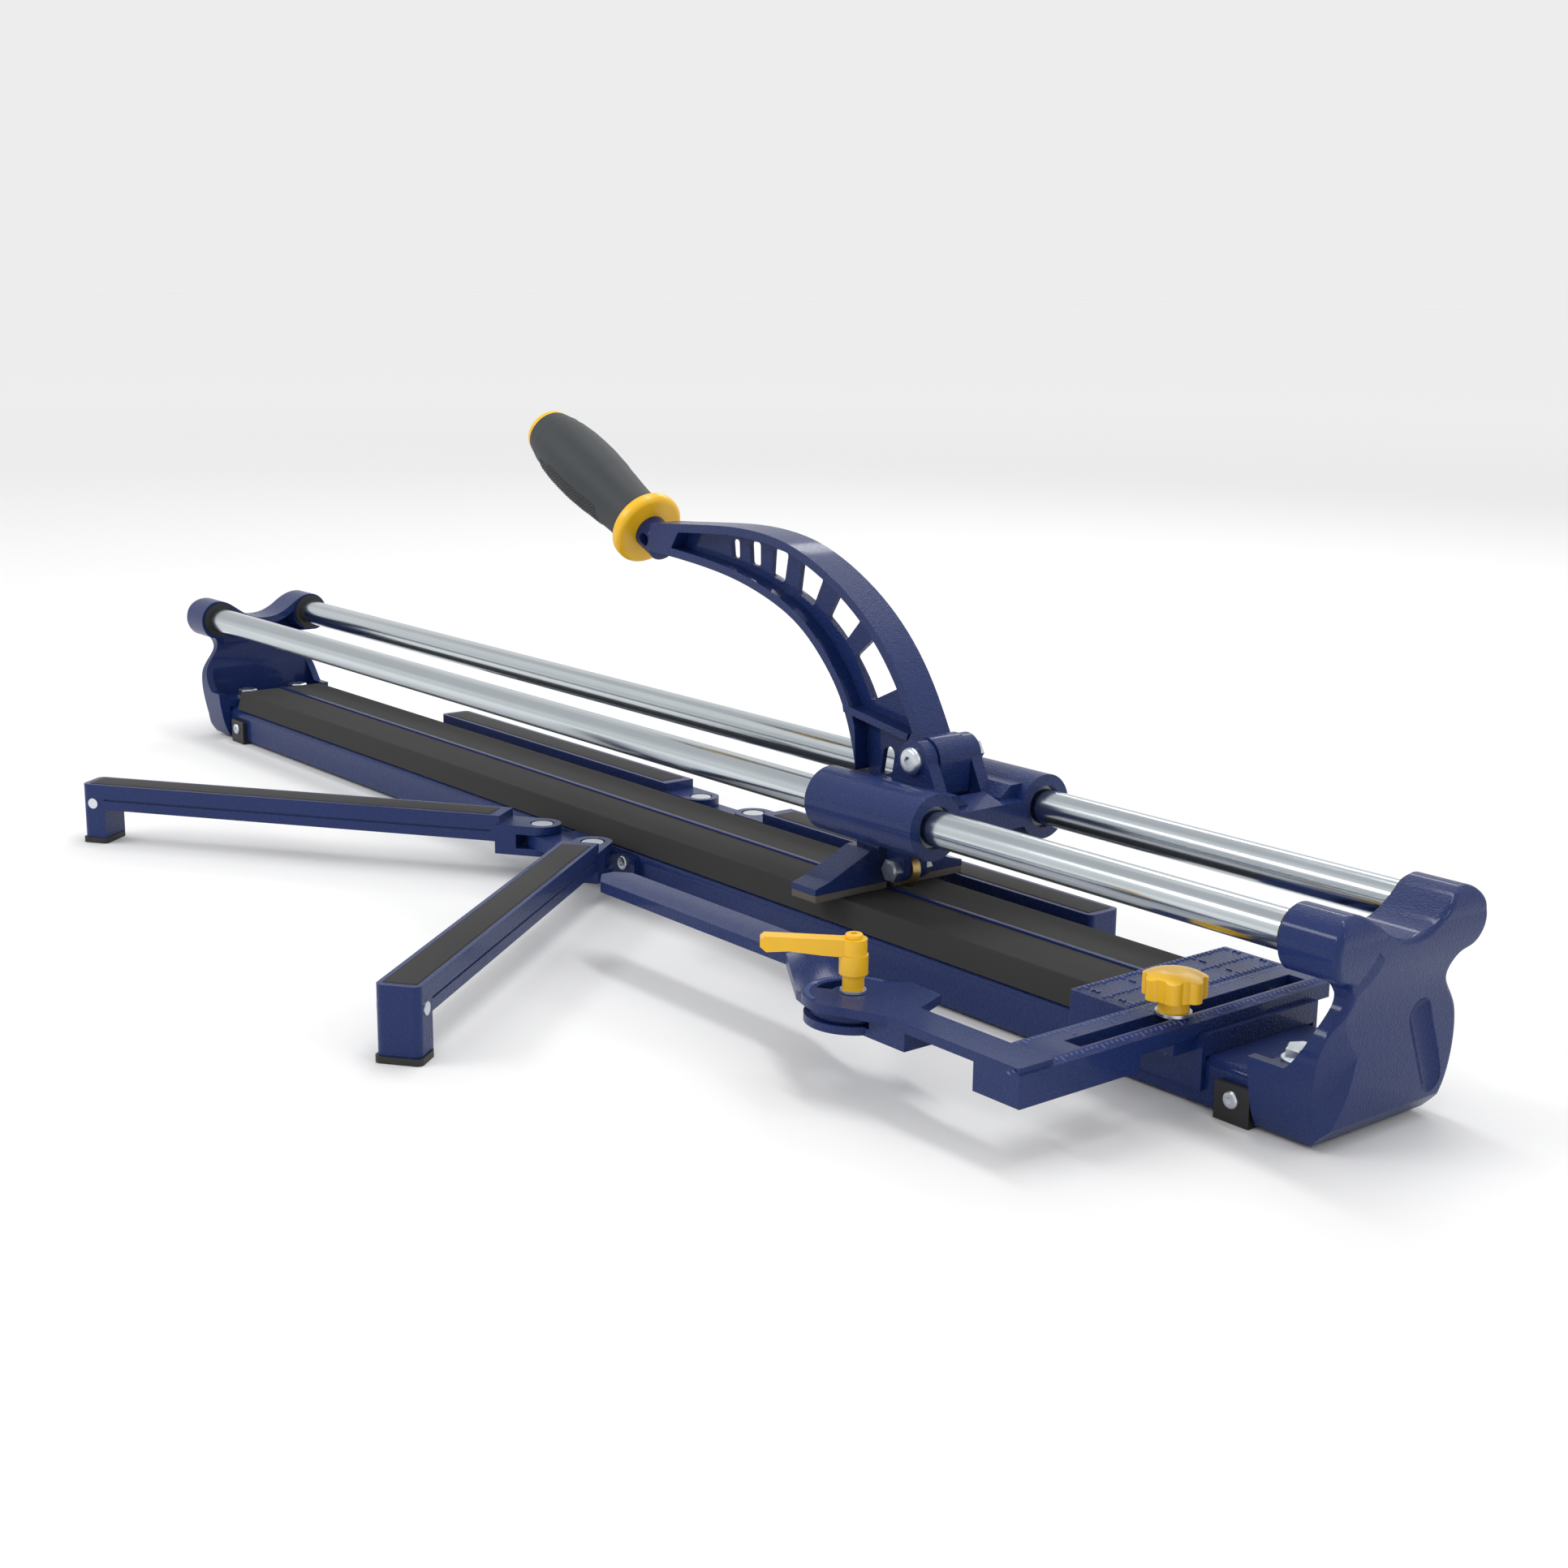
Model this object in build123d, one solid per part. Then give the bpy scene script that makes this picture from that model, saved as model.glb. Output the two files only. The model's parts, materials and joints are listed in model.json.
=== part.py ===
"""Rail tile cutter: a long beam with two foam pads and a breaking ridge, an end casting at each
end, two guide rails, a sliding carriage with a scoring handle, a ruler fence with a sliding
L-shaped extension and swinging angle fence, and four hinged support arms.

Working frame, millimetres: X along the rails towards the ruler end, Y across (the operator's
side is negative), Z up from the beam's underside. At the end every piece is moved so that the
origin is the centre of the bounding box's underside.
"""

import math
import os

from build123d import *

# ---- beam, ridge and pads ----
BEAM_END = 548.0
BEAM_HALF_W = 38.6
DECK_Z = 23.0
BEAM_WALL = 2.5
BEAM_CORNER_R = 5.0
RIDGE_HALF_W = 1.5
RIDGE_TOP = 37.9
PAD_X0 = -512.0
PAD_X1 = 419.0
PAD_TOP = 36.9
PAD_EDGE_Z = 25.7
PAD_TOP_HALF_W = 34.5
FLOOR_Z = -2.5

# ---- rails ----
RAIL_R = 9.5
RAIL_Y = 39.5
RAIL_Z = 92.8
RAIL_END = 556.0

# ---- end castings ----
FRONT_FLANGE_X = 518.0
REAR_FLANGE_X = 524.0
CASTING_WALL = 5.5
BOSS_R = 14.3
BOSS_FACE_X = 535.0
FLANGE_TOP = 29.0
BOLT_X = 527.0
BOLT_Y = 22.0
BOLT_R = 4.0
CASTING_EDGE_R = 3.0
CREASE_X = 557.2
CREASE_TOP_X = 572.5
CREASE_LOW = (-36.0, 4.0)
CREASE_TOP = (9.0, 60.0)
CREASE_RUN_OUT = 0.25
CREASE_SECTION = ((0, 0), (14, -6.2), (45, -7.2), (45, 16), (0, 16))
GROOVE_X = 566.0
GROOVE_LOW = (33.0, 16.0)
GROOVE_TOP = (19.0, 50.0)
GROOVE_R = 11.0
BUMPER_LEN = 2.0
BUMPER_R = 13.2

# ---- rubber feet ----
FOOT_X = 506.0
FOOT_LEN = 20.0
FOOT_T = 3.5
FOOT_TOP = 15.5
FOOT_LIP_Y = 28.0
FOOT_SCREW_Z = 8.8

# ---- support arms and their brackets ----
PIN_X = 28.0
PIN_Y = 62.0
PIN_R = 4.0
HINGE_GAP = 0.06
TONGUE_Z0 = 16.9
TONGUE_Z1 = 25.4
TONGUE_R = 10.0
BRACKET_T = 4.0
ARM_HALF_W = 11.5
ARM_TOP = 36.5
ARM_BOTTOM = 20.0
FORK_TOP = 31.0
FORK_BOTTOM = 12.3
FORK_SLOT_X = 13.0
ARM_STEP_X = 24.0
REAR_ARM_LEN = 316.0
FRONT_ARM_LEN = 304.0
NEAR_REAR_ARM_DEG = 216.5
NEAR_FRONT_ARM_DEG = -51.8
FAR_REAR_ARM_DEG = 180.0
FAR_FRONT_ARM_DEG = 0.0
LEG_LEN = 16.0
ARM_TIP_T = 3.5

# ---- ruler fence and extension ----
FENCE_X0 = 420.0
FENCE_X1 = 455.5
FENCE_TOP = 41.0
FENCE_NEAR_Y = -58.0
FENCE_FAR_Y = 54.0
GUIDE_TOP = 31.5
EXT_X0 = 456.0
EXT_X1 = 484.3
EXT_Z0 = 31.8
LIP_X1 = 487.5
SLOT_X0 = 468.2
SLOT_X1 = 478.0
SLOT_Y0 = -112.0
SLOT_Y1 = 43.0
LARM_Y0 = -155.0
LARM_Y1 = -134.5
CORNER_Z = 24.0
KNOB_X = 473.1
KNOB_Y = -46.0
KNOB_STUD_R = 3.0
KNOB_DOME_R = 34.0
DEEP_Y = -80.0

# ---- angle fence and clamp lever ----
HUB_X = 364.0
HUB_Y = -144.0
HUB_R = 20.0
PROTRACTOR_R = 24.0
BAR_X0 = 130.0
BAR_X1 = 303.0
BAR_Y0 = -134.0
BAR_Y1 = -110.0
BAR_Z0 = 37.4
BAR_Z1 = 43.4
HUB_Z0 = 32.9
HUB_Z1 = 37.3
LEVER_STUD_R = 4.0
LEVER_DEG = 231.5
LEVER_LEN = 43.5

# ---- carriage ----
TUBE_R = 17.5
TUBE_X0 = 222.0
TUBE_X1 = 306.0
BUSH_BORE_R = 9.57
BUSH_R = 11.3
PIVOT_X = 266.0
PIVOT_Z = 118.0
PIVOT_R = 4.0
EAR_R = 11.0
EAR_Y0 = 11.8
EAR_Y1 = 19.5

# ---- handle ----
HANDLE_HALF_W = 11.0
HANDLE_FLANGE = 5.0
HANDLE_WEB = 1.5
WINDOW_SCALE = 1.08
GRIP_X = 2.0
GRIP_Z = 212.5
GRIP_DEG = 154.6
GRIP_LEN = 122.0
COLLAR_LEN = 9.0
CAP_LEN = 5.0
TANG_R = 9.0

# ---- breaker foot and wheel ----
BFOOT_X0 = 208.5
BFOOT_X1 = 229.0
BFOOT_HALF_Y = 54.0
BFOOT_Z0 = 41.4
BFOOT_PAD_Z0 = 37.2
WHEEL_X = 242.0
WHEEL_Z = 51.7
WHEEL_R = 11.0
WHEEL_BOLT_R = 3.0

NODES = {}


# ---------------------------------------------------------------- helpers

def box(x0, x1, y0, y1, z0, z1):
    """Box between two corners."""
    centre = Pos((x0 + x1) / 2, (y0 + y1) / 2, (z0 + z1) / 2)
    return centre * Box(abs(x1 - x0), abs(y1 - y0), abs(z1 - z0))


def cyl_x(x0, x1, y, z, r):
    """Cylinder along X."""
    return Pos((x0 + x1) / 2, y, z) * Rot(0, 90, 0) * Cylinder(r, abs(x1 - x0))


def cyl_y(y0, y1, x, z, r):
    """Cylinder along Y."""
    return Pos(x, (y0 + y1) / 2, z) * Rot(90, 0, 0) * Cylinder(r, abs(y1 - y0))


def cyl_z(z0, z1, x, y, r):
    """Cylinder along Z."""
    return Pos(x, y, (z0 + z1) / 2) * Cylinder(r, abs(z1 - z0))


def prism_x(sketch, x0, x1):
    """Extrude a (y, z) sketch along X."""
    return extrude(Plane.YZ.offset(x0) * sketch, amount=x1 - x0, dir=(1, 0, 0))


def prism_y(sketch, y0, y1):
    """Extrude an (x, z) sketch along Y."""
    return extrude(Plane.XZ.offset(-y1) * sketch, amount=y1 - y0, dir=(0, -1, 0))


def prism_z(sketch, z0, z1):
    """Extrude an (x, y) sketch along Z."""
    return extrude(Plane.XY.offset(z0) * sketch, amount=z1 - z0, dir=(0, 0, 1))


def poly(*points):
    """Closed polygon that keeps its coordinates."""
    return Polygon(*points, align=None)


def hexagon(r):
    """Hexagon with a corner radius."""
    return RegularPolygon(r, 6)


def group(solids):
    """Several separate solids as one node."""
    return Compound(children=list(solids))


def keep(name, shape):
    """Remember a node until all of them are made."""
    NODES[name] = shape


def shifted(points, distance):
    """Points of an open line moved sideways by a distance, to the left of its direction."""
    moved = []
    for i, (a, b) in enumerate(points):
        before = points[max(i - 1, 0)]
        after = points[min(i + 1, len(points) - 1)]
        da = after[0] - before[0]
        db = after[1] - before[1]
        size = math.hypot(da, db)
        moved.append((a - db / size * distance, b + da / size * distance))
    return moved


# ---------------------------------------------------------------- beam and pads

def make_beam():
    """Folded steel channel, open underneath, with bolt holes for the castings."""
    outer = Pos(0, DECK_Z / 2) * Rectangle(2 * BEAM_HALF_W, DECK_Z)
    outer = fillet(outer.vertices().group_by(Axis.Y)[-1], BEAM_CORNER_R)
    inner_top = DECK_Z - BEAM_WALL
    inner = Pos(0, inner_top / 2) * Rectangle(2 * (BEAM_HALF_W - BEAM_WALL), inner_top)
    inner = fillet(inner.vertices().group_by(Axis.Y)[-1], BEAM_CORNER_R - BEAM_WALL)
    beam = prism_x(outer - inner, -BEAM_END, BEAM_END)
    for sx in (-1, 1):
        for sy in (-1, 1):
            beam -= cyl_z(0, DECK_Z + 1, sx * BOLT_X, sy * BOLT_Y, BOLT_R)
    return beam


def make_ridge():
    """Steel strip the tile is snapped over."""
    strip = box(PAD_X0, PAD_X1, -RIDGE_HALF_W, RIDGE_HALF_W, DECK_Z, RIDGE_TOP)
    return fillet(strip.edges().filter_by(Axis.X).group_by(Axis.Z)[-1], 0.6)


def make_pad(side):
    """Foam pad with a bevelled outer edge; side is -1 near, +1 far."""
    inner_y = RIDGE_HALF_W + 0.1
    section = poly(
        (side * inner_y, DECK_Z),
        (side * (BEAM_HALF_W - 0.6), DECK_Z),
        (side * BEAM_HALF_W, PAD_EDGE_Z),
        (side * PAD_TOP_HALF_W, PAD_TOP),
        (side * inner_y, PAD_TOP),
    )
    return prism_x(section, PAD_X0, PAD_X1)


# ---------------------------------------------------------------- end castings

CASTING_SIDE = [
    (41.5, 3), (43.5, 8), (46.8, 22), (48.4, 38), (46.2, 51), (38.5, 62), (35.2, 69),
    (38.5, 76), (47.5, 79), (53.3, 85.5), (54.6, 92.8), (51.5, 101.5), (44.5, 106.8),
    (36, 107), (27, 102.5), (17, 95.8), (8, 92.3), (0, 91.5),
]


def casting_outline(inset):
    """Hourglass outline with two rail lobes and a saddle; inset shrinks it all round."""
    half = shifted(CASTING_SIDE, inset)
    half[-1] = (0, CASTING_SIDE[-1][1] - inset)
    low = (half[0][0], max(inset, 0))
    left = [(-y, z) for y, z in reversed(half[:-1])]
    side = Spline([Vector(y, z) for y, z in half + left])
    base = Polyline((-half[0][0], half[0][1]), (-low[0] + 1.5, low[1]), (low[0] - 1.5, low[1]),
                    (half[0][0], half[0][1]))
    return make_face([side, base])


def casting_flank(flange_x):
    """Side view of the casting: foot flange, finger cut-out, leaning front and rail bosses."""
    path = [
        Line((flange_x, 0), (flange_x, 34.5)),
        Line((flange_x, 34.5), (538, 34.5)),
        ThreePointArc((538, 34.5), (548.5, 50), (551.5, 70)),
        Line((551.5, 70), (549, 76.5)),
        Line((549, 76.5), (BOSS_FACE_X, 78)),
        Line((BOSS_FACE_X, 78), (BOSS_FACE_X, 109)),
        Line((BOSS_FACE_X, 109), (558, 109)),
        ThreePointArc((558, 109), (564, 104.5), (566, 95)),
        Spline((566, 95), (564.5, 80), (560.5, 66), (558.5, 46), (558, 22), (556, 8)),
        Line((556, 8), (549, 0)),
        Line((549, 0), (flange_x, 0)),
    ]
    return make_face(path)


def casting_slope():
    """Space in front of the panel's near edge, where the face falls back towards the waist."""
    along = Vector(CREASE_TOP_X - CREASE_X, CREASE_TOP[0] - CREASE_LOW[0], CREASE_TOP[1] - CREASE_LOW[1])
    start = Vector(CREASE_X, *CREASE_LOW) - along * CREASE_RUN_OUT
    plane = Plane(origin=start, x_dir=Vector(1, 0, 0).cross(along), z_dir=along)
    length = along.length * (1 + CREASE_RUN_OUT)
    return extrude(plane * poly(*CREASE_SECTION), amount=length, dir=plane.z_dir)


def casting_groove():
    """Shallow scooped groove down the panel's far side."""
    low = Vector(GROOVE_X, *GROOVE_LOW)
    top = Vector(GROOVE_X, *GROOVE_TOP)
    along = top - low
    rod = Pos(0, 0, along.length / 2) * Cylinder(GROOVE_R, along.length)
    rod = Plane(origin=low, z_dir=along.normalized()) * rod
    return rod + Pos(*low) * Sphere(GROOVE_R) + Pos(*top) * Sphere(GROOVE_R)


def make_casting(flange_x):
    """End casting for the ruler end; the other end is its mirror image."""
    body = prism_x(casting_outline(0), flange_x - 1, 570) & prism_y(casting_flank(flange_x), -60, 60)
    front_edges = [e for e in body.edges() if e.bounding_box().min.X > 553 and e.center().Z > 3]
    body = fillet(front_edges, CASTING_EDGE_R)
    body -= casting_slope()
    body -= casting_groove()
    hollow_side = poly((500, FLANGE_TOP), (549, FLANGE_TOP), (549, 66), (554, 78), (559, 92),
                       (557, 101), (500, 101))
    hollow = prism_x(casting_outline(CASTING_WALL), 500, 562) & prism_y(hollow_side, -60, 60)
    body -= hollow
    for sy in (-1, 1):
        body += cyl_x(BOSS_FACE_X, 561, sy * RAIL_Y, RAIL_Z, BOSS_R)
    body -= box(500, BEAM_END + 0.3, -BEAM_HALF_W - 0.1, BEAM_HALF_W + 0.1, -5, DECK_Z)
    for sy in (-1, 1):
        body -= cyl_x(500, RAIL_END, sy * RAIL_Y, RAIL_Z, RAIL_R)
        body -= cyl_z(0, 60, BOLT_X, sy * BOLT_Y, BOLT_R)
    return body


def make_rails():
    """Two plated steel rails."""
    keep("near_rail", cyl_x(-RAIL_END, RAIL_END, -RAIL_Y, RAIL_Z, RAIL_R))
    keep("far_rail", cyl_x(-RAIL_END, RAIL_END, RAIL_Y, RAIL_Z, RAIL_R))


def make_bumpers():
    """Rubber ring round each rail against each casting boss."""
    rings = []
    for sx in (-1, 1):
        for sy in (-1, 1):
            x0 = sx * BOSS_FACE_X
            x1 = sx * (BOSS_FACE_X - BUMPER_LEN)
            ring = cyl_x(x0, x1, sy * RAIL_Y, RAIL_Z, BUMPER_R)
            rings.append(ring - cyl_x(x0, x1, sy * RAIL_Y, RAIL_Z, RAIL_R))
    return group(rings)


def make_casting_bolts():
    """Hex bolts and washers that hold the castings to the beam's deck."""
    bolts = []
    washers = []
    washer_top = FLANGE_TOP + 1.5
    for sx in (-1, 1):
        for sy in (-1, 1):
            place = Pos(sx * BOLT_X, sy * BOLT_Y, 0)
            head = extrude(Plane.XY.offset(washer_top) * hexagon(7.5), amount=5.5)
            head = chamfer(head.edges().group_by(Axis.Z)[-1], 0.8)
            bolts.append(place * (head + cyl_z(14, washer_top, 0, 0, BOLT_R)))
            ring = cyl_z(FLANGE_TOP, washer_top, 0, 0, 8.8) - cyl_z(0, 40, 0, 0, BOLT_R)
            washers.append(place * ring)
    keep("casting_bolts", group(bolts))
    keep("casting_washers", group(washers))


def make_feet():
    """Rubber blocks wrapped under the beam's side, each held by a screw."""
    feet = []
    screws = []
    for sx in (-1, 1):
        for sy in (-1, 1):
            x0 = sx * FOOT_X - FOOT_LEN / 2
            x1 = sx * FOOT_X + FOOT_LEN / 2
            outer_y = sy * (BEAM_HALF_W + FOOT_T)
            plate = box(x0, x1, sy * BEAM_HALF_W, outer_y, FLOOR_Z, FOOT_TOP)
            plate += box(x0, x1, sy * FOOT_LIP_Y, outer_y, FLOOR_Z, 0)
            plate = fillet(plate.edges().filter_by(Axis.Y).group_by(Axis.Z)[-1], 1.5)
            hole_y = sy * (BEAM_HALF_W + FOOT_T + 1)
            plate -= cyl_y(sy * BEAM_HALF_W, hole_y, sx * FOOT_X, FOOT_SCREW_Z, 2.2)
            feet.append(plate)
            head = cyl_y(outer_y, outer_y + sy * 1.8, sx * FOOT_X, FOOT_SCREW_Z, 4.2)
            head = fillet(head.edges().sort_by(Axis.Y)[0 if sy < 0 else -1], 1.2)
            head += cyl_y(sy * BEAM_HALF_W, outer_y, sx * FOOT_X, FOOT_SCREW_Z, 2.2)
            recess = outer_y + sy * 0.9
            head -= cyl_y(recess, recess + sy * 2, sx * FOOT_X, FOOT_SCREW_Z, 1.5)
            screws.append(head)
    keep("rubber_feet", group(feet))
    keep("foot_screws", group(screws))


# ---------------------------------------------------------------- brackets and arms

def make_brackets():
    """Cast bracket with a tongue for two arms on each side, its screws and the hinge pins."""
    screws = []
    pins = []
    for name, sy in (("near_hinge_bracket", -1), ("far_hinge_bracket", 1)):
        face_y = sy * (BEAM_HALF_W + BRACKET_T)
        body = box(-44, 44, sy * BEAM_HALF_W, face_y, 4, 21.5)
        body = fillet(body.edges().filter_by(Axis.Y), 3)
        body += box(-18, 18, face_y, sy * PIN_Y, TONGUE_Z0, TONGUE_Z1)
        body += box(-3, 3, face_y, sy * (PIN_Y - 8), 6, TONGUE_Z0)
        body += box(-PIN_X, PIN_X, sy * (PIN_Y - TONGUE_R), sy * (PIN_Y + TONGUE_R), TONGUE_Z0, TONGUE_Z1)
        for sx in (-1, 1):
            body += cyl_z(TONGUE_Z0, TONGUE_Z1, sx * PIN_X, sy * PIN_Y, TONGUE_R)
        for sx in (-1, 1):
            body -= cyl_z(0, 40, sx * PIN_X, sy * PIN_Y, PIN_R)
            pin = cyl_z(FORK_BOTTOM + 0.4, 29.4, sx * PIN_X, sy * PIN_Y, PIN_R)
            head = cyl_z(29.4, 30.8, sx * PIN_X, sy * PIN_Y, 6.8)
            pins.append(pin + fillet(head.edges().sort_by(Axis.Z)[-1], 0.5))
            x = sx * 33
            screw = cyl_y(face_y, face_y + sy * 2.2, x, 15.5, 4.4)
            screw = fillet(screw.edges().sort_by(Axis.Y)[0 if sy < 0 else -1], 1.2)
            screws.append(screw - cyl_y(face_y + sy * 1, face_y + sy * 3, x, 15.5, 1.6))
        keep(name, body)
    keep("bracket_screws", group(screws))
    keep("hinge_pins", group(pins))


def arm_casting(length):
    """Support arm along +X from its pin: fork, channel with a pad recess, and a leg."""
    w = ARM_HALF_W
    fork = cyl_z(FORK_BOTTOM, FORK_TOP, 0, 0, 12) + box(0, ARM_STEP_X + 3, -12, 12, FORK_BOTTOM, FORK_TOP)
    fork -= box(-20, FORK_SLOT_X, -20, 20, TONGUE_Z0 - 0.2, TONGUE_Z1 + 0.2)
    body = fork + box(ARM_STEP_X, length, -w, w, ARM_BOTTOM, ARM_TOP)
    body -= box(ARM_STEP_X + 8, length - LEG_LEN - 4, -w + 3, w - 3, 0, 31)
    leg_z = FLOOR_Z + ARM_TIP_T
    leg = box(length - LEG_LEN, length, -w, w, leg_z, ARM_BOTTOM)
    body += leg
    body = fillet(body.edges().filter_by(Axis.Z).group_by(Axis.X)[-1], 4)
    body -= box(ARM_STEP_X + 7, length - 4, -w + 2.6, w - 2.6, 33.5, ARM_TOP + 1)
    for side in (-1, 1):
        body -= box(ARM_STEP_X + 6, length - LEG_LEN, side * w, side * (w - 0.7), 26, 27.2)
    body -= cyl_z(0, 40, 0, 0, PIN_R + HINGE_GAP)
    body -= cyl_z(28.9, 40, 0, 0, 7.5)
    body -= cyl_y(-w - 1, w + 1, length - LEG_LEN / 2, 24, 2.2)
    return body


def arm_pad(length):
    """Rubber strip let into the arm's top."""
    return box(ARM_STEP_X + 7.2, length - 4.2, -ARM_HALF_W + 2.8, ARM_HALF_W - 2.8, 33.5, PAD_TOP)


def arm_tip(length):
    """Rubber cap under the leg."""
    cap = box(length - LEG_LEN - 0.8, length + 0.8, -ARM_HALF_W - 0.8, ARM_HALF_W + 0.8, FLOOR_Z,
              FLOOR_Z + ARM_TIP_T)
    return fillet(cap.edges().filter_by(Axis.Z), 3)


def arm_rivet(length):
    """Rivet across the arm's leg."""
    x = length - LEG_LEN / 2
    rivet = cyl_y(-ARM_HALF_W, ARM_HALF_W, x, 24, 2.2)
    for side in (-1, 1):
        rivet += cyl_y(side * ARM_HALF_W, side * (ARM_HALF_W + 0.9), x, 24, 3.4)
    return rivet


def make_arms():
    """Four arms turned about their pins."""
    layout = [
        ("near_rear", -1, -1, NEAR_REAR_ARM_DEG, REAR_ARM_LEN),
        ("near_front", 1, -1, NEAR_FRONT_ARM_DEG, FRONT_ARM_LEN),
        ("far_rear", -1, 1, FAR_REAR_ARM_DEG, REAR_ARM_LEN),
        ("far_front", 1, 1, FAR_FRONT_ARM_DEG, FRONT_ARM_LEN),
    ]
    for name, sx, sy, angle, length in layout:
        place = Pos(sx * PIN_X, sy * PIN_Y, 0) * Rot(0, 0, angle)
        keep(name + "_arm", place * arm_casting(length))
        keep(name + "_arm_pad", place * arm_pad(length))
        keep(name + "_arm_tip", place * arm_tip(length))
        keep(name + "_arm_rivet", place * arm_rivet(length))


# ---------------------------------------------------------------- ruler fence and extension

def make_fence():
    """Ruler casting across the beam, with a guide for the extension and cheeks down the sides."""
    body = box(FENCE_X0, FENCE_X1, FENCE_NEAR_Y, FENCE_FAR_Y, CORNER_Z, FENCE_TOP)
    body = fillet(body.edges().filter_by(Axis.Z).group_by(Axis.X)[0], 1.2)
    body -= box(FENCE_X0 + 4, FENCE_X1 - 4, FENCE_NEAR_Y + 4, -BEAM_HALF_W - 4, 20, FENCE_TOP - 4)
    body -= box(FENCE_X0 + 4, FENCE_X1 - 4, BEAM_HALF_W + 4, FENCE_FAR_Y - 4, 20, FENCE_TOP - 4)
    body += box(FENCE_X0, LIP_X1, -BEAM_HALF_W, BEAM_HALF_W, DECK_Z, GUIDE_TOP)
    body += box(EXT_X1 + 0.2, LIP_X1, -BEAM_HALF_W - 2.9, BEAM_HALF_W + 2.9, DECK_Z, 33.5)
    for sy in (-1, 1):
        body += box(440, LIP_X1, sy * (BEAM_HALF_W + 0.1), sy * (BEAM_HALF_W + 2.9), 7, GUIDE_TOP)
    body += box(FENCE_X1 - 1, EXT_X1 - 0.6, FENCE_NEAR_Y + 1, -BEAM_HALF_W, 26, GUIDE_TOP)
    body -= cyl_z(20, 40, KNOB_X, KNOB_Y, KNOB_STUD_R + HINGE_GAP)
    return body


def make_extension():
    """L-shaped bar that slides across in the fence, with the protractor plates at its end."""
    bar = box(EXT_X0, EXT_X1, LARM_Y0, FENCE_FAR_Y, EXT_Z0, FENCE_TOP)
    bar = chamfer(bar.edges().filter_by(Axis.Y).group_by(Axis.Z)[-1].sort_by(Axis.X)[-1], 2.0, 4.8)
    bar += box(EXT_X0, EXT_X1, LARM_Y0, DEEP_Y, CORNER_Z, EXT_Z0)
    bar -= box(EXT_X0 + 4, EXT_X1 - 4, LARM_Y1 + 2, DEEP_Y - 4, 20, 36)
    bar -= box(SLOT_X0, SLOT_X1, SLOT_Y0, SLOT_Y1, 20, 50)
    arm = box(400, EXT_X1 - 1, LARM_Y0, LARM_Y1, 37.4, 42)
    root = box(388, 412, LARM_Y0, LARM_Y1, 28.6, 42)
    top = cyl_z(HUB_Z1 + 0.3, 42, HUB_X, HUB_Y, PROTRACTOR_R)
    top += prism_z(poly((HUB_X, HUB_Y - PROTRACTOR_R), (392, LARM_Y0 - 3), (400, LARM_Y0),
                        (400, LARM_Y1), (392, -114), (370, -113), (HUB_X, HUB_Y + PROTRACTOR_R)),
                   HUB_Z1 + 0.3, 42)
    low = cyl_z(28.6, HUB_Z0 - 0.3, HUB_X, HUB_Y, PROTRACTOR_R - 1)
    low += box(HUB_X, 412, LARM_Y0, LARM_Y1, 28.6, HUB_Z0 - 0.3)
    body = bar + arm + root + top + low
    window = cyl_z(20, 60, HUB_X, HUB_Y, 18) - cyl_z(20, 60, HUB_X, HUB_Y, 10)
    wedge = prism_z(poly((HUB_X, HUB_Y), (HUB_X - 40, HUB_Y + 46), (HUB_X - 60, HUB_Y),
                         (HUB_X - 40, HUB_Y - 26)), 20, 60)
    body -= window & wedge
    body -= cyl_z(20, 60, HUB_X, HUB_Y, LEVER_STUD_R + HINGE_GAP)
    return body


def make_angle_fence():
    """Straight tile stop with a hub that swings between the protractor plates."""
    bar = prism_z(poly((BAR_X0 + 8, BAR_Y1), (BAR_X1, BAR_Y1), (BAR_X1, BAR_Y0), (BAR_X0 + 12, BAR_Y0),
                       (BAR_X0, BAR_Y0 + 9), (BAR_X0, BAR_Y1 - 7)), BAR_Z0, BAR_Z1)
    plan = prism_z(poly((BAR_X1 - 1, BAR_Y1), (340, -123), (HUB_X, HUB_Y + HUB_R),
                        (HUB_X, HUB_Y - HUB_R), (336, -155), (BAR_X1 - 1, BAR_Y0)), 20, 60)
    ramp = poly((BAR_X1 - 1, BAR_Z0), (BAR_X1, BAR_Z0), (336, HUB_Z0), (HUB_X, HUB_Z0), (HUB_X, HUB_Z1),
                (338, HUB_Z1), (BAR_X1, BAR_Z1), (BAR_X1 - 1, BAR_Z1))
    body = bar + (plan & prism_y(ramp, -180, -90)) + cyl_z(HUB_Z0, HUB_Z1, HUB_X, HUB_Y, HUB_R)
    ring = cyl_z(20, 60, HUB_X, HUB_Y, 16.5) - cyl_z(20, 60, HUB_X, HUB_Y, 10)
    body -= ring & box(HUB_X - 30, HUB_X - 2, HUB_Y - 14, HUB_Y + 14, 20, 60)
    body -= cyl_z(20, 60, HUB_X, HUB_Y, LEVER_STUD_R + HINGE_GAP)
    return body


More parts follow.
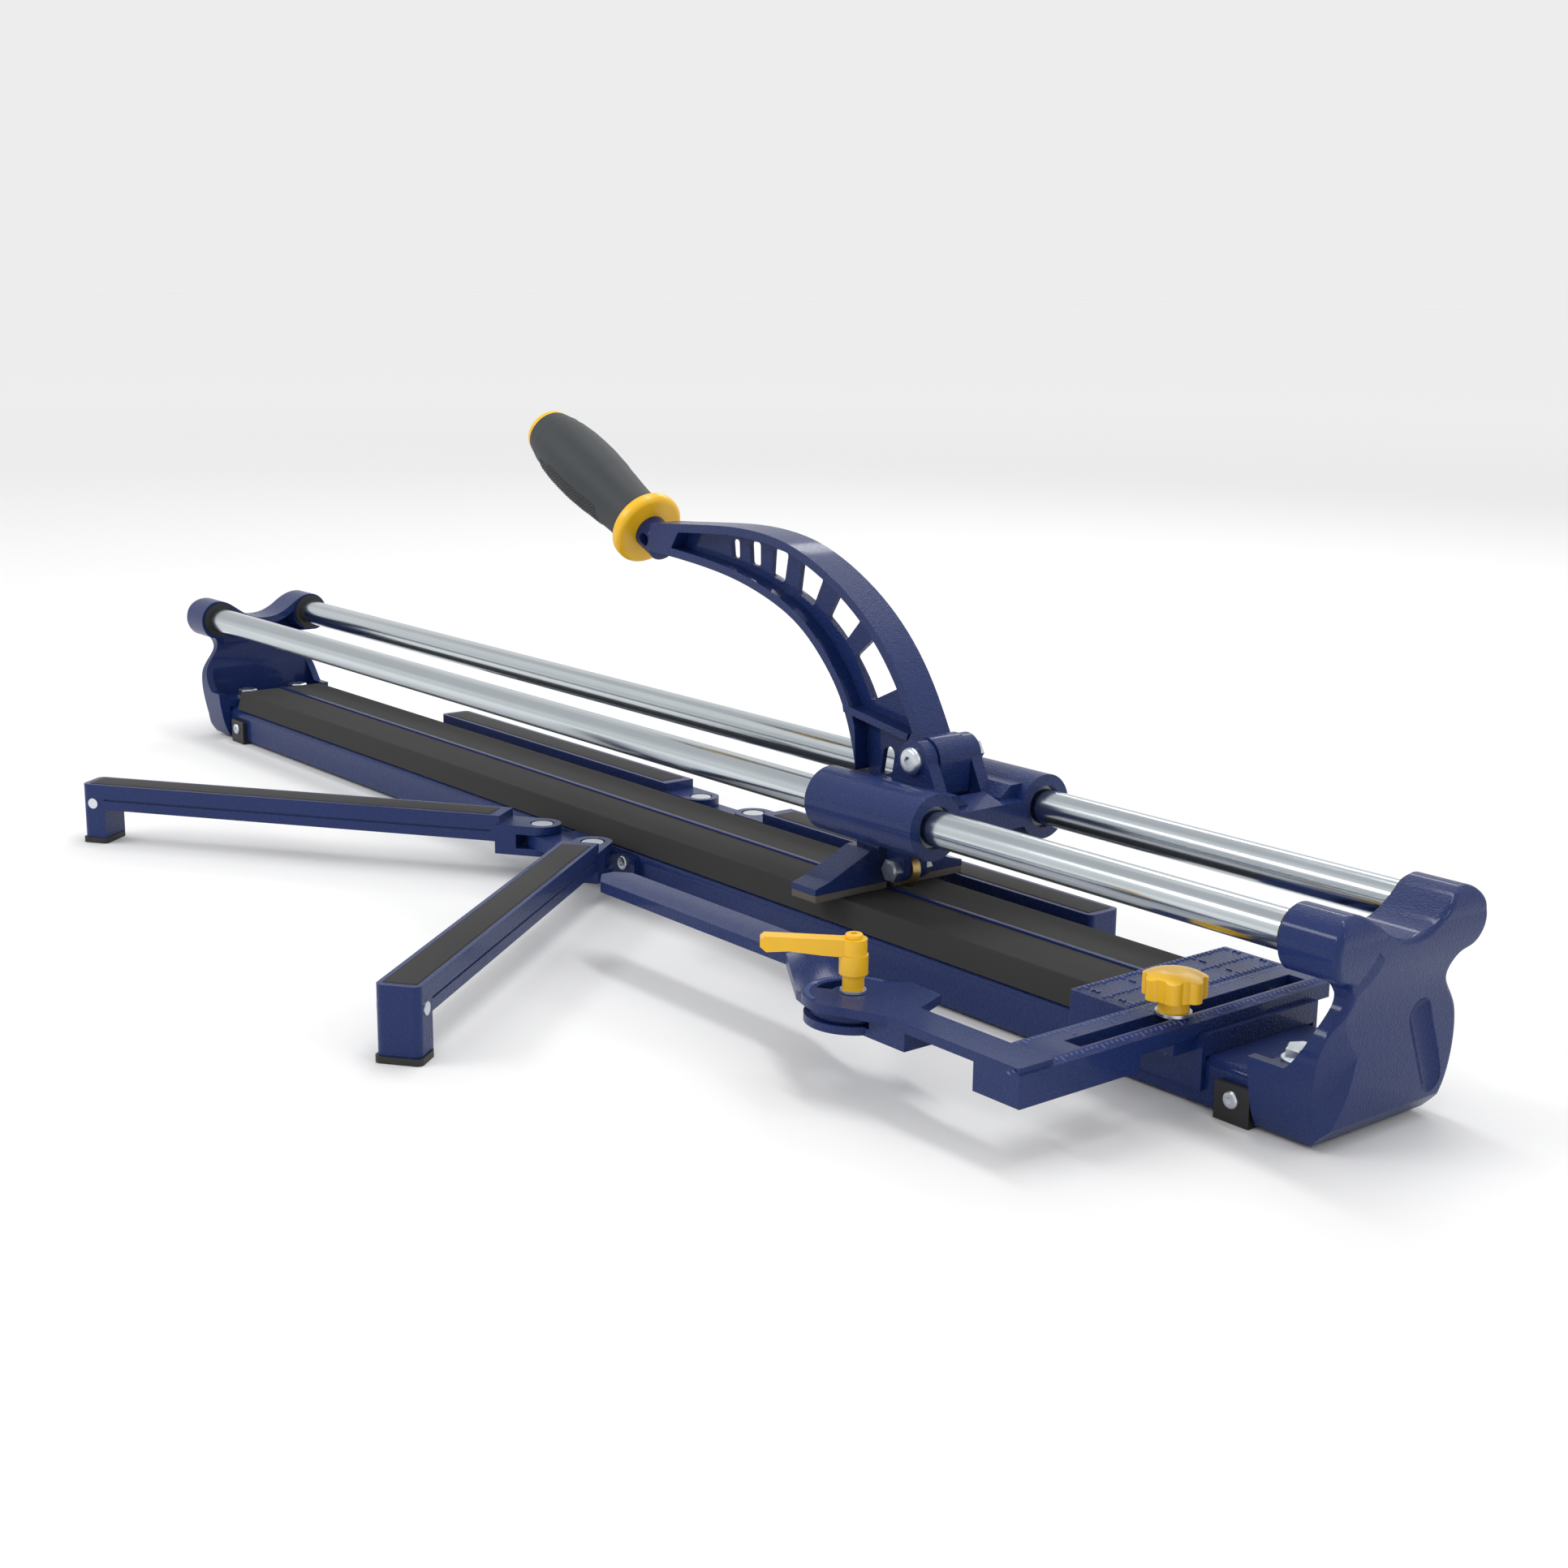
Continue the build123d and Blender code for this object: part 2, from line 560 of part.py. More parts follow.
def make_lever():
    """Clamp lever with its stud, washer and top screw."""
    place = Pos(HUB_X, HUB_Y, 0)
    neck = cyl_z(43.6, 51, 0, 0, 5.2) + cyl_z(51, 60.5, 0, 0, 6.9) + cyl_z(60, 68, 0, 0, 6.3)
    arm = prism_y(poly((0, 59.5), (14, 60.5), (30, 62.5), (LEVER_LEN - 3, 62), (LEVER_LEN, 64.5),
                       (LEVER_LEN, 68), (LEVER_LEN - 2, 69.5), (6, 68), (0, 68)), -4.2, 4.2)
    arm = fillet(arm.edges().filter_by(Axis.Y).group_by(Axis.X)[-1], 1)
    lever = neck + Rot(0, 0, LEVER_DEG) * arm
    lever -= cyl_z(40, 64, 0, 0, LEVER_STUD_R)
    keep("clamp_lever", place * lever)
    stud = cyl_z(26, 64, 0, 0, LEVER_STUD_R)
    nut = prism_z(hexagon(7), 23, 28.4) + cyl_z(27, 28.4, 0, 0, 5)
    keep("lever_stud", place * (stud + nut))
    washer = cyl_z(42.2, 43.6, 0, 0, 6.2) - cyl_z(40, 46, 0, 0, LEVER_STUD_R)
    keep("lever_washer", place * washer)
    screw = fillet(cyl_z(68, 70.4, 0, 0, 4.2).edges().sort_by(Axis.Z)[-1], 1)
    keep("lever_screw", place * (screw - prism_z(hexagon(1.8), 69, 72)))


def make_knob():
    """Star knob with its stud and the plate it clamps down."""
    place = Pos(KNOB_X, KNOB_Y, 0)
    head = cyl_z(49.5, 62, 0, 0, 13)
    for i in range(7):
        angle = math.radians(360 / 7 * i)
        head += cyl_z(49.5, 62, 11 * math.cos(angle), 11 * math.sin(angle), 4.2)
    head &= Pos(0, 0, 62.5 - KNOB_DOME_R) * Sphere(KNOB_DOME_R)
    knob = head + cyl_z(42.8, 49.5, 0, 0, 7.3)
    knob -= cyl_z(40, 56, 0, 0, KNOB_STUD_R)
    keep("star_knob", place * knob)
    stud = cyl_z(22.8, 56, 0, 0, KNOB_STUD_R) + cyl_z(22.8, 25.8, 0, 0, 4.3)
    washer = cyl_z(41.2, 42.8, 0, 0, 8.5)
    keep("knob_stud", place * (stud + washer))


# ---------------------------------------------------------------- carriage

def make_carriage():
    """Two slide tubes joined by a web, with two ears for the handle's pivot."""
    body = None
    for sy in (-1, 1):
        tube = cyl_x(TUBE_X0, TUBE_X1, sy * RAIL_Y, RAIL_Z, TUBE_R)
        body = tube if body is None else body + tube
        shoulder = poly((sy * 30, 82), (sy * EAR_Y0, 84), (sy * EAR_Y0, 100), (sy * EAR_Y1, 106),
                        (sy * 34, 106))
        body += prism_x(shoulder, 240, 300)
        ear = cyl_y(sy * EAR_Y0, sy * EAR_Y1, PIVOT_X, PIVOT_Z, EAR_R)
        ear += prism_y(poly((244, 96), (288, 96), (PIVOT_X + EAR_R, PIVOT_Z), (PIVOT_X - EAR_R, PIVOT_Z)),
                       min(sy * EAR_Y0, sy * EAR_Y1), max(sy * EAR_Y0, sy * EAR_Y1))
        body += ear
    body += prism_y(poly((286, 84), (TUBE_X1, 84), (TUBE_X1, 98), (286, 101)), -30, 30)
    for sy in (-1, 1):
        body -= cyl_x(TUBE_X0 - 1, TUBE_X1 + 1, sy * RAIL_Y, RAIL_Z, BUSH_R)
    body -= cyl_y(-30, 30, PIVOT_X, PIVOT_Z, PIVOT_R)
    return body


def make_bushes():
    """Plastic sleeve in each tube, with a collar that shows at the rear end."""
    bushes = []
    for sy in (-1, 1):
        sleeve = cyl_x(TUBE_X0, TUBE_X1 - 4, sy * RAIL_Y, RAIL_Z, BUSH_R)
        sleeve += cyl_x(TUBE_X0 - 2.5, TUBE_X0, sy * RAIL_Y, RAIL_Z, 15.5)
        bushes.append(sleeve - cyl_x(0, 400, sy * RAIL_Y, RAIL_Z, BUSH_BORE_R))
    return group(bushes)


def make_pivot_bolt():
    """Button-head bolt through the ears and the lock nut on the far side."""
    bolt = cyl_y(-EAR_Y1, EAR_Y1 + 7, PIVOT_X, PIVOT_Z, PIVOT_R)
    head = cyl_y(-EAR_Y1 - 4, -EAR_Y1, PIVOT_X, PIVOT_Z, 7.5)
    head = fillet(head.edges().sort_by(Axis.Y)[0], 2.6)
    socket = Pos(PIVOT_X, -EAR_Y1 - 2.5, PIVOT_Z) * Rot(90, 0, 0) * extrude(hexagon(2.9), amount=4)
    keep("pivot_bolt", bolt + head - socket)
    nut = Pos(PIVOT_X, EAR_Y1, PIVOT_Z) * Rot(-90, 0, 0) * extrude(hexagon(7.2), amount=6)
    keep("pivot_nut", nut - cyl_y(0, 40, PIVOT_X, PIVOT_Z, PIVOT_R))


# ---------------------------------------------------------------- handle

HANDLE_TOP = [
    (17, 219.6), (45, 221.5), (72.8, 223.5), (96, 224.6), (118, 224.2), (150.5, 219.5), (185.8, 206),
    (212.2, 190), (233, 171.5), (248.6, 151.5), (259.5, 133), (266, 121),
]
HANDLE_LOW = [
    (15, 202.5), (38, 201.5), (60.8, 199.8), (96.9, 195.4), (131.7, 187), (159.7, 175), (179, 160.1),
    (195, 141.6), (204, 123.6), (209.7, 103.9), (212, 84), (212.5, 60.5),
]
WINDOWS = [
    [(85, 215.5), (92.6, 216), (93.2, 205.6), (86.2, 205.6)],
    [(102.8, 216.2), (112.3, 216), (112.6, 203), (103.8, 203.8)],
    [(124.6, 214.2), (137.6, 212.6), (134.6, 196.6), (123.4, 198.8)],
    [(150.4, 208.6), (168.4, 202), (160.6, 186.6), (147.6, 191.6)],
    [(182.8, 194.6), (200.4, 183), (189.2, 171), (174.2, 181)],
    [(212.2, 173), (232.4, 150.6), (212, 141), (198.4, 161.8)],
]


def handle_area(inset):
    """Area between the handle's top and lower edges, both moved inwards by the inset."""
    top = shifted(HANDLE_TOP, -inset)
    low = shifted(HANDLE_LOW, inset)
    if inset:
        top = top[1:-1]
        low = low[1:-3]
    top_line = Spline([Vector(x, z) for x, z in top])
    low_line = Spline([Vector(x, z) for x, z in low])
    joins = [Line(top[0], low[0])]
    if inset:
        joins.append(Polyline(top[-1], (240, 106), (low[-1][0] + 2, 92), low[-1]))
    else:
        joins.append(Polyline(top[-1], (278, 117), (277, 100), (262, 84), (254, 68), (232, 68),
                              (231, 60.5), low[-1]))
    return make_face([top_line, low_line] + joins)


def make_handle():
    """I-section lever with lightening windows, a pivot boss and a tang for the grip."""
    w = HANDLE_HALF_W
    body = prism_y(handle_area(0), -w, w)
    pocket = handle_area(HANDLE_FLANGE)
    for y0, y1 in ((-w - 1, -HANDLE_WEB), (HANDLE_WEB, w + 1)):
        body -= prism_y(pocket, y0, y1)
    for corners in WINDOWS:
        mid_x = sum(x for x, _ in corners) / len(corners)
        mid_z = sum(z for _, z in corners) / len(corners)
        hole = poly(*((mid_x + (x - mid_x) * WINDOW_SCALE, mid_z + (z - mid_z) * WINDOW_SCALE)
                      for x, z in corners))
        hole = fillet(hole.vertices(), 2.2)
        body -= prism_y(hole, -w - 1, w + 1)
    rib = poly((198, 137), (252, 129), (251, 125), (199, 132.6))
    body += prism_y(rib, -w, w)
    oval = Pos(226, 107) * Rot(0, 0, 80) * SlotOverall(20, 9)
    body -= prism_y(oval, -w - 1, w + 1)
    body += cyl_y(-w, w, PIVOT_X, PIVOT_Z, 12)
    tang = along_grip()
    body += tang * Pos(0, 0, -16) * extrude(Circle(10.6), amount=16)
    for side in (-1, 1):
        pocket = extrude(SlotOverall(9, 6.5), amount=4, both=True)
        body -= tang * Pos(side * 9, 0, -8.5) * Rot(0, 90, 0) * pocket
    body += tang * extrude(Circle(TANG_R), amount=100)
    body -= cyl_y(-30, 30, PIVOT_X, PIVOT_Z, PIVOT_R + HINGE_GAP)
    return body


def along_grip():
    """Placement whose Z axis runs from the collar to the grip's end."""
    angle = math.radians(GRIP_DEG)
    along = (math.cos(angle), 0, math.sin(angle))
    return Plane(origin=(GRIP_X, 0, GRIP_Z), x_dir=(0, 1, 0), z_dir=along).location


def make_grip():
    """Soft grip, stop collar and end cap."""
    place = along_grip()
    side = Spline((17.3, COLLAR_LEN), (17.2, 24), (18.9, 45), (20.9, 70), (20.6, 92), (18.4, 110),
                  (15.6, GRIP_LEN))
    rest = Polyline((15.6, GRIP_LEN), (0, GRIP_LEN), (0, COLLAR_LEN), (17.3, COLLAR_LEN))
    profile = make_face([side, rest])
    grip = revolve(Plane.XZ * profile, axis=Axis.Z)
    keep("grip", place * (grip - extrude(Circle(TANG_R), amount=100)))
    collar = fillet(extrude(Circle(23.2), amount=COLLAR_LEN).edges(), 3.4)
    keep("grip_collar", place * (collar - extrude(Circle(TANG_R), amount=COLLAR_LEN)))
    cap = Pos(0, 0, GRIP_LEN) * extrude(Circle(15.4), amount=CAP_LEN)
    keep("grip_cap", place * fillet(cap.edges().sort_by(Axis.Z)[-1], 3.5))


# ---------------------------------------------------------------- breaker foot and wheel

def make_breaker_foot():
    """Winged foot under the handle and its two rubber soles."""
    section = poly((-BFOOT_HALF_Y, BFOOT_Z0), (-BFOOT_HALF_Y, 44.8), (-44, 47.5), (-15, 60.4), (15, 60.4),
                   (44, 47.5), (BFOOT_HALF_Y, 44.8), (BFOOT_HALF_Y, BFOOT_Z0))
    keep("breaker_foot", prism_x(section, BFOOT_X0, BFOOT_X1))
    soles = []
    for sy in (-1, 1):
        sole = box(BFOOT_X0, BFOOT_X1, sy * 2.6, sy * BFOOT_HALF_Y, BFOOT_PAD_Z0, BFOOT_Z0)
        soles.append(sole)
    keep("foot_soles", group(soles))


def make_wheel_parts():
    """Fork that hangs from the handle, the axle bolt and the scoring wheel."""
    fork = box(232, 253, -8.5, 8.5, 63.6, 68)
    for sy in (-1, 1):
        cheek = box(235, 249, sy * 3.4, sy * 8.5, 52, 63.6)
        cheek += cyl_y(sy * 3.4, sy * 8.5, WHEEL_X, WHEEL_Z, 7)
        fork += cheek
    keep("wheel_fork", fork - cyl_y(-20, 20, WHEEL_X, WHEEL_Z, WHEEL_BOLT_R))
    axis = Pos(WHEEL_X, 0, WHEEL_Z) * Rot(90, 0, 0)
    head = axis * Pos(0, 0, 8.5) * extrude(hexagon(6.6), amount=4.5)
    head += axis * Pos(0, 0, 13) * extrude(Circle(4.6), amount=0.8)
    nut = axis * Pos(0, 0, -13) * extrude(hexagon(6.6), amount=4.5)
    keep("wheel_bolt", cyl_y(-8.5, 13, WHEEL_X, WHEEL_Z, WHEEL_BOLT_R) + head + nut)
    half = poly((WHEEL_BOLT_R + HINGE_GAP, -2.9), (WHEEL_R - 2.6, -2.9), (WHEEL_R, 0),
                (WHEEL_R - 2.6, 2.9), (WHEEL_BOLT_R + HINGE_GAP, 2.9))
    wheel = revolve(Plane.XZ * half, axis=Axis.Z)
    keep("scoring_wheel", axis * wheel)


# ---------------------------------------------------------------- assembly

def make_all():
    """Make every node in the working frame."""
    keep("base_beam", make_beam())
    keep("breaking_ridge", make_ridge())
    keep("near_pad", make_pad(-1))
    keep("far_pad", make_pad(1))
    keep("front_casting", make_casting(FRONT_FLANGE_X))
    keep("rear_casting", mirror(make_casting(REAR_FLANGE_X), about=Plane.YZ))
    make_rails()
    keep("rail_bumpers", make_bumpers())
    make_casting_bolts()
    make_feet()
    make_brackets()
    make_arms()
    keep("ruler_fence", make_fence())
    keep("extension_bar", make_extension())
    keep("angle_fence", make_angle_fence())
    make_lever()
    make_knob()
    keep("carriage", make_carriage())
    keep("slide_bushes", make_bushes())
    make_pivot_bolt()
    keep("handle_arm", make_handle())
    make_grip()
    make_breaker_foot()
    make_wheel_parts()


def export_all():
    """Move the origin to the middle of the bounding box's underside and write each node."""
    boxes = [shape.bounding_box() for shape in NODES.values()]
    low = [min(getattr(b.min, axis) for b in boxes) for axis in "XYZ"]
    high = [max(getattr(b.max, axis) for b in boxes) for axis in "XYZ"]
    move = Pos(-(low[0] + high[0]) / 2, -(low[1] + high[1]) / 2, -low[2])
    os.makedirs("parts", exist_ok=True)
    for name, shape in NODES.items():
        export_step(move * shape, f"parts/{name}.step")
        b = shape.bounding_box()
        corners = [round(v) for v in (*b.min, *b.max)]
        print(name, len(shape.solids()), round(shape.volume / 1000, 2), corners)
    print("size", [round(h - l, 2) for l, h in zip(low, high)])
    print("origin moved by", [round(v, 3) for v in move.position])


make_all()
export_all()
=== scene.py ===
# %% [markdown]
# # A tile cutter, finished in Blender
# The CAD model already has every hard piece at its true size, so this file loads it as a fixed frame and
# gives it the look of the real thing: textured paint, plated rails, foam, soft rubber and raised ruler
# marks. Everything is in metres, X along the rails, Y across and Z up.

# %% Load the frame
import json
import math

import bpy
from mathutils import Matrix, Vector


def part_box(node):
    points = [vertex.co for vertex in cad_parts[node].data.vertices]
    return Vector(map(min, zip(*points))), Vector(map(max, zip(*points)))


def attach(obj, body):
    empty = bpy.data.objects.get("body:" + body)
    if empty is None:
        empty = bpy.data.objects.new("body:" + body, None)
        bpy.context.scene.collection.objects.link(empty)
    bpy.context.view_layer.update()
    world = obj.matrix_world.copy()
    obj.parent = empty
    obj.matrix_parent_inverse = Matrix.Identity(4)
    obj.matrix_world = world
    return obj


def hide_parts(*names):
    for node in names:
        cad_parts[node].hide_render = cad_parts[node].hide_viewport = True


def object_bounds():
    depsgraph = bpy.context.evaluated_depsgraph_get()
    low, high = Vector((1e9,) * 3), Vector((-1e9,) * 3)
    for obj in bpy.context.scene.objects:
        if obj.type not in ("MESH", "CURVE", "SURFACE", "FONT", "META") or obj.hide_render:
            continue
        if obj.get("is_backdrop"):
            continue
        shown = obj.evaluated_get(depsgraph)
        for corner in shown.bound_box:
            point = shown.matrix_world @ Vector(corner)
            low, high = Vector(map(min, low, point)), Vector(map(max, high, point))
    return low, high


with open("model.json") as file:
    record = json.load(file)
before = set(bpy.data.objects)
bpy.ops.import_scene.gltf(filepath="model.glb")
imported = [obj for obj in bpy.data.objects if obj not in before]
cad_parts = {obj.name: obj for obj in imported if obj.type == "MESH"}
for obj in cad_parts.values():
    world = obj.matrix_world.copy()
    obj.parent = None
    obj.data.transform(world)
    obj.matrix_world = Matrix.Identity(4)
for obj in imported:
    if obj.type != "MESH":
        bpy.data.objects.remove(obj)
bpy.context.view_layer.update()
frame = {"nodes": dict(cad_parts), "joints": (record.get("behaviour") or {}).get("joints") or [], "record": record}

MM = 0.001
nodes = frame["nodes"]
bpy.ops.object.select_all(action="DESELECT")

# %% [markdown]
# The camera stands low in front of the ruler end, on the operator's side. It could be aimed with a tracking
# constraint, but a camera built from three axes keeps the small roll of a hand-levelled stand.

# %% Camera
CAMERA_PLACE = Vector((1.08647, -0.659449, 0.36569))
CAMERA_AZIMUTH = math.radians(50.799)
CAMERA_ELEVATION = math.radians(13.064)
CAMERA_ROLL = math.radians(0.742)
LENS_MM = 49.79

back = Vector((math.sin(CAMERA_AZIMUTH) * math.cos(CAMERA_ELEVATION),
               -math.cos(CAMERA_AZIMUTH) * math.cos(CAMERA_ELEVATION), math.sin(CAMERA_ELEVATION)))
level_right = (-back).cross(Vector((0, 0, 1))).normalized()
level_up = level_right.cross(-back)
right = math.cos(CAMERA_ROLL) * level_right + math.sin(CAMERA_ROLL) * level_up
up = -math.sin(CAMERA_ROLL) * level_right + math.cos(CAMERA_ROLL) * level_up

camera_data = bpy.data.cameras.new("camera")
camera_data.lens = LENS_MM
camera_data.sensor_width = 36
camera_data.clip_end = 50
camera = bpy.data.objects.new("camera", camera_data)
bpy.context.scene.collection.objects.link(camera)
camera.matrix_world = Matrix(((right.x, up.x, back.x, CAMERA_PLACE.x),
                              (right.y, up.y, back.y, CAMERA_PLACE.y),
                              (right.z, up.z, back.z, CAMERA_PLACE.z),
                              (0, 0, 0, 1)))
bpy.context.scene.camera = camera
print("camera at", [round(v, 3) for v in CAMERA_PLACE])

# %% [markdown]
# A pale floor and large soft lamps, as for a catalogue picture. One lamp could do, but the plated rails
# need several bright shapes to reflect, or they go grey. The paper gets paler with distance, so that it
# meets the background without a line.

# %% Floor and light
FLOOR_COLOUR = (0.86, 0.86, 0.86, 1)
FAR_FLOOR_COLOUR = (1.0, 1.0, 1.0, 1)
FLOOR_SIZE = 120
FLOOR_DROP = 0.2 * MM
WORLD_STRENGTH = 0.85
AIM = Vector((0, 0, 0.08))
LAMPS = [
    ("key", (-0.9, -1.9, 1.7), 1.2, 0.35, 16),
    ("top", (0.1, 0.5, 2.2), 1.8, 0.22, 14),
    ("end", (2.4, 0.6, 1.3), 0.22, 0.8, 4),
    ("rear", (-0.8, 1.9, 1.5), 1.4, 0.25, 7),
]


def add_lamp(name, place, wide, high, power):
    """Soft rectangular lamp aimed at the middle of the object."""
    data = bpy.data.lights.new(name, "AREA")
    data.shape = "RECTANGLE"
    data.size = wide
    data.size_y = high
    data.energy = power
    lamp = bpy.data.objects.new(name, data)
    bpy.context.scene.collection.objects.link(lamp)
    lamp.location = place
    lamp.rotation_euler = (AIM - lamp.location).to_track_quat("-Z", "Y").to_euler()


for lamp in LAMPS:
    add_lamp(*lamp)
bpy.ops.mesh.primitive_plane_add(size=FLOOR_SIZE, location=(0, 0, -FLOOR_DROP))
floor = bpy.context.object
floor.name = "floor"
floor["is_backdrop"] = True
world = bpy.data.worlds.new("world")
bpy.context.scene.world = world
world.use_nodes = True
background = world.node_tree.nodes["Background"]
background.inputs["Color"].default_value = (1, 1, 1, 1)
background.inputs["Strength"].default_value = WORLD_STRENGTH
bpy.context.scene.view_settings.view_transform = "Standard"
print("lamps", len(LAMPS))

# %% [markdown]
# Patterns are sums and products of noise, so a small class lets them be written as plain arithmetic: it
# wraps a socket, and each operator adds the node that does the sum.

# %% Shader helper


class Val:
    """A number or colour socket in one node tree."""

    def __init__(self, tree, socket):
        self.tree = tree
        self.socket = socket

    def node(self, kind, settings=None, out=0, **inputs):
        """Any other node: its settings first, then its sockets' values or links."""
        made = self.tree.nodes.new(kind)
        for key, value in (settings or {}).items():
            setattr(made, key, value)
        for key, value in inputs.items():
            name = int(key[1:]) if key[1:].isdigit() else key.replace("_", " ")
            socket = made.inputs[name]
            if isinstance(value, Val):
                self.tree.links.new(value.socket, socket)
            else:
                socket.default_value = value
        return Val(self.tree, made.outputs[out])

    def math(self, operation, *values):
        sockets = {f"i{i}": v for i, v in enumerate(values)}
        return self.node("ShaderNodeMath", {"operation": operation}, **sockets)

    def __add__(self, other):
        return self.math("ADD", self, other)

    def __sub__(self, other):
        return self.math("SUBTRACT", self, other)

    def __rsub__(self, other):
        return self.math("SUBTRACT", other, self)

    def __mul__(self, other):
        return self.math("MULTIPLY", self, other)

    __radd__ = __add__
    __rmul__ = __mul__

    def step(self, low, high):
        """0 below low, 1 above high, smooth between."""
        settings = {"interpolation_type": "SMOOTHSTEP"}
        return self.node("ShaderNodeMapRange", settings, i0=self, i1=low, i2=high)

    def mix(self, first, second):
        """Colour first where this is 0, second where it is 1."""
        settings = {"data_type": "RGBA"}
        return self.node("ShaderNodeMix", settings, out=2, i0=self, i6=first, i7=second)

    def noise(self, scale, detail=2.0, rough=0.5):
        """Noise over these coordinates; scale is waves per metre."""
        return self.node("ShaderNodeTexNoise", Vector=self, Scale=scale, Detail=detail, Roughness=rough)

    def stretch(self, x, y, z):
        """Coordinates scaled along each axis."""
        return self.node("ShaderNodeMapping", Vector=self, Scale=(x, y, z))

    def cells(self, scale):
        """Distance to the nearest cell centre."""
        return self.node("ShaderNodeTexVoronoi", Vector=self, Scale=scale)


def new_material(name):
    """Material with its shader and its Object coordinates."""
    material = bpy.data.materials.new(name)
    material.use_nodes = True
    tree = material.node_tree
    shader = tree.nodes["Principled BSDF"]
    place = tree.nodes.new("ShaderNodeTexCoord")
    return material, shader, Val(tree, place.outputs["Object"])


def feed(shader, name, value):
    """Link a pattern to a shader socket."""
    value.tree.links.new(value.socket, shader.inputs[name])


def bump(shader, height, distance, strength=1.0, edge=None):
    """Feed a height pattern, distance metres deep, to the shader's normal; edge is a softening radius."""
    inputs = {"Height": height, "Distance": distance, "Strength": strength}
    if edge:
        inputs["Normal"] = height.node("ShaderNodeBevel", {"samples": 4}, Radius=edge)
    feed(shader, "Normal", height.node("ShaderNodeBump", **inputs))


finishes = {}

# %% [markdown]
# The castings and folded steel wear a textured powder coat. It is a glossy navy paint with an orange-peel
# grain about a millimetre across and paler flecks. Sharp edges of a real coat are a little round, so a
# bevel softens them. The raised marks take a thinner coat with no bevel, because that would melt marks so
# small. Their paler colour is painted highlight, for the light that their small raised edges catch.

# %% Blue powder coat


def powder_coat(name, dark, light, fleck_colour, grain_depth, edge):
    """Glossy paint with an orange-peel grain and paler flecks."""
    material, shader, at = new_material(name)
    peel = at.noise(900, 3, 0.55)
    ripple = at.noise(260, 2)
    fleck = (1 - at.cells(1500).step(0.12, 0.3)) * at.noise(420).step(0.45, 0.62) * 0.4
    tint = at.noise(14, 3).mix((*dark, 1), (*light, 1))
    feed(shader, "Base Color", fleck.mix(tint, (*fleck_colour, 1)))
    feed(shader, "Roughness", 0.26 + 0.16 * peel)
    bump(shader, peel * 0.8 + ripple * 0.08, grain_depth, 0.9, edge=edge)
    shader.inputs["Specular IOR Level"].default_value = 0.16
    shader.inputs["Coat Weight"].default_value = 0.3
    shader.inputs["Coat Roughness"].default_value = 0.1
    return material


finishes["blue_hammered_paint"] = powder_coat("blue_powder_coat", (0.004, 0.0175, 0.1), (0.0065, 0.024, 0.13),
                                              (0.05, 0.09, 0.28), 0.0015, 0.0008)
# The paler colours of the marks' coat are painted highlight, standing in for light caught by their raised edges.
marks_painted_highlight_coat = powder_coat("blue_mark_coat", (0.05, 0.08, 0.24), (0.065, 0.1, 0.29),
                        (0.1, 0.15, 0.36), 0.0002, None)
print("finishes", sorted(finishes), marks_painted_highlight_coat.name)

# %% [markdown]
# The rails are plated steel, ground round and polished along their length, so fine streaks run along X and
# the shine is broken a little by handling. Broader soft bands of paler and darker grey running along the
# bar are painted reflection, standing in for the bright and dark shapes that a polished bar mirrors.

# %% Plated rails
material, shader, at = new_material("plated_rail")
streak = at.stretch(3, 420, 420).noise(1, 4, 0.6)
# Painted reflection: soft paler and darker bands along the bar, mixed into the base colour with a little random
# haze.
painted_reflection_band = at.stretch(0.6, 190, 190).noise(1, 2, 0.5).step(0.38, 0.62)
haze = at.noise(22, 3)
feed(shader, "Base Color", (painted_reflection_band * 0.75 + haze * 0.25).mix((0.4, 0.44, 0.47, 1), (0.6, 0.65, 0.68, 1)))
feed(shader, "Roughness", 0.12 + 0.1 * streak + 0.05 * haze)
bump(shader, streak, 0.00002, 0.35)
shader.inputs["Metallic"].default_value = 1.0
finishes["chromed_steel"] = material
print("finish", material.name)

# %% [markdown]
# Screws, washers and pins are zinc plated: a cool grey metal, cloudy in patches, with small marks from
# tools.

# %% Zinc plate
material, shader, at = new_material("zinc_plate")
cloud = at.noise(260, 4, 0.6)
feed(shader, "Base Color", cloud.mix((0.5, 0.55, 0.6, 1), (0.74, 0.78, 0.82, 1)))
feed(shader, "Roughness", 0.2 + 0.22 * cloud)
bump(shader, at.noise(1700, 2), 0.00003, 0.4, edge=0.0003)
shader.inputs["Metallic"].default_value = 1.0
finishes["zinc_plated_steel"] = material
print("finish", material.name)

# %% [markdown]
# The scoring wheel has a worn golden coating, brighter and duller in random cloudy patches.

# %% Brass
material, shader, at = new_material("golden_wheel")
cloud = at.noise(420, 4, 0.6)
feed(shader, "Base Color", cloud.mix((0.42, 0.28, 0.1, 1), (0.72, 0.54, 0.25, 1)))
feed(shader, "Roughness", 0.24 + 0.2 * cloud)
bump(shader, at.noise(2400, 2), 0.00002, 0.4)
shader.inputs["Metallic"].default_value = 1.0
finishes["brass"] = material
print("finish", material.name)

# %% [markdown]
# Knob, lever and grip rings are glossy moulded plastic: a strong yellow with a faint flow pattern and soft
# edges.

# %% Yellow plastic
material, shader, at = new_material("yellow_moulding")
flow = at.noise(90, 3)
feed(shader, "Base Color", flow.mix((0.82, 0.44, 0.008, 1), (0.9, 0.52, 0.014, 1)))
feed(shader, "Roughness", 0.26 + 0.1 * flow)
bump(shader, at.noise(1500, 2), 0.00003, 0.3, edge=0.0006)
shader.inputs["Subsurface Weight"].default_value = 0.04
finishes["yellow_plastic"] = material
print("finish", material.name)

# %% [markdown]
# Rubber comes in several greys and grains. One function makes them all: fine pores, a slow change of tone
# and a dusty bloom, with the numbers for each kind in a table.

